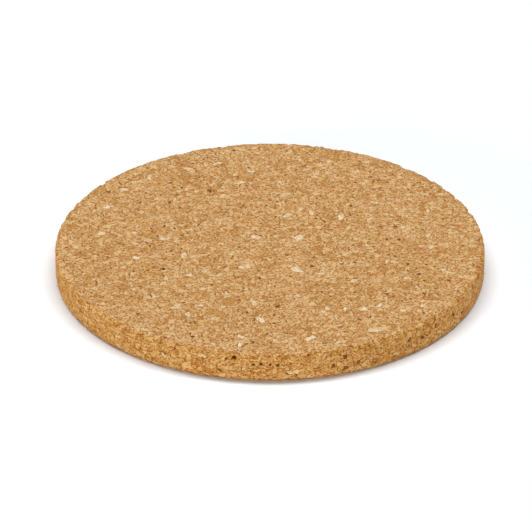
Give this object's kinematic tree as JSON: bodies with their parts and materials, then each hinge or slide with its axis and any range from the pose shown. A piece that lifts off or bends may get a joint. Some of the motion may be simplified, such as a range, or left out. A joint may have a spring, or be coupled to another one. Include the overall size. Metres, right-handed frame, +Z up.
{
  "type": "cork coaster",
  "caption": "Round flat coaster die-cut from pressed granulated cork, with coarse pale, tan and bark granules bonded flush into its faces and wall. Rests under a cup or glass.",
  "frame": {"origin": "middle of the base", "axes": "+Z up, out of the top face; -Y towards the viewer of the picture"},
  "size_m": [0.1, 0.1, 0.007],
  "materials": {
    "cork_body": "matte",
    "pale_cork": "matte",
    "tan_cork": "matte",
    "bark": "matte"
  },
  "bodies": {
    "root": {"cork_disc": "cork_body", "top_pale_flakes": "pale_cork", "top_tan_granules": "tan_cork", "top_bark_specks": "bark", "rim_pale_flakes": "pale_cork", "rim_tan_granules": "tan_cork", "rim_bark_specks": "bark", "base_pale_flakes": "pale_cork", "base_tan_granules": "tan_cork", "base_bark_specks": "bark"}
  },
  "joints": []
}
